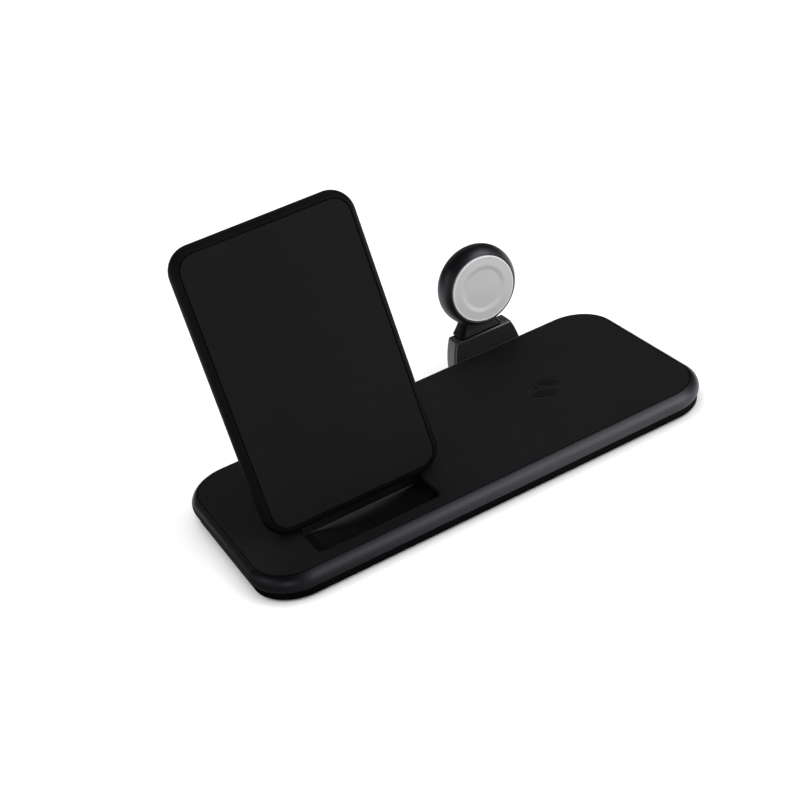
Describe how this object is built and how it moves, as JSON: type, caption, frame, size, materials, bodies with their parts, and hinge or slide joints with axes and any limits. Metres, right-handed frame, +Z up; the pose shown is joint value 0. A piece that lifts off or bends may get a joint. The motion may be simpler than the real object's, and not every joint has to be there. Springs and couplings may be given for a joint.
{
  "type": "wireless charging station",
  "caption": "Flat wireless charging base with a leaning phone stand, a ringed charging pad and a tilting watch charger that plugs into a rear socket",
  "frame": {"origin": "Centre of the face the base stands on, the underside of the rubber mat.", "axes": "+X runs along the length of the base towards the charging-pad end, away from the phone stand. +Y runs to the rear, where the socket is. +Z is up. The phone stand and the watch disc face -Y."},
  "size_m": [0.1884, 0.0953, 0.1147],
  "materials": {
    "anodised": "slate-grey anodised, fine blasted",
    "dark_metal": "near-black anodised, satin",
    "satin_metal": "light grey satin",
    "soft_black": "soft-touch coating",
    "tray_black": "semi-gloss",
    "cover_black": "fine spark texture",
    "inner_plastic": "moulded",
    "rubber_black": "matte",
    "pale_disc": "smooth, light grey",
    "plain_steel": "plain",
    "screw_steel": "dark zinc",
    "copper": "enamelled copper winding",
    "contact_gold": "gold plated",
    "ferrite": "sintered",
    "board_green": "solder mask"
  },
  "bodies": {
    "station": {"base_frame": "anodised", "top_pad": "soft_black", "recess_tray": "tray_black", "bottom_cover": "cover_black", "grip_mat": "rubber_black", "cover_screws": "screw_steel", "ballast_plate": "plain_steel", "main_board": "board_green", "power_inlet": "plain_steel", "inlet_tongue": "inner_plastic", "pad_coil": "copper", "pad_ferrite": "ferrite", "pad_carrier": "inner_plastic", "stand_bracket": "dark_metal", "base_screws": "screw_steel", "bracket_screws": "screw_steel", "stand_frame": "dark_metal", "stand_pad": "soft_black", "stand_back": "cover_black", "upper_coil": "copper", "lower_coil": "copper", "stand_ferrite": "ferrite", "coil_carrier": "inner_plastic", "socket_block": "satin_metal", "socket_front": "dark_metal", "socket_liner": "inner_plastic", "socket_contacts": "contact_gold"},
    "watch_module": {"watch_foot": "soft_black", "plug_blade": "inner_plastic", "plug_contacts": "contact_gold", "hinge_pin": "plain_steel"},
    "watch_puck": {"puck_shell": "dark_metal", "puck_face": "pale_disc", "puck_coil": "copper", "puck_magnet": "plain_steel", "puck_holder": "inner_plastic"}
  },
  "joints": [
    {"name": "module_lift", "type": "slide", "parent": "station", "child": "watch_module", "axis": [0, 0, 1], "range_m": [0, 0.012]},
    {"name": "disc_tilt", "type": "hinge", "parent": "watch_module", "child": "watch_puck", "pos_m": [0.0436, 0.0478, 0.0326], "axis": [-1, 0, 0], "range_deg": [0, 80]}
  ]
}
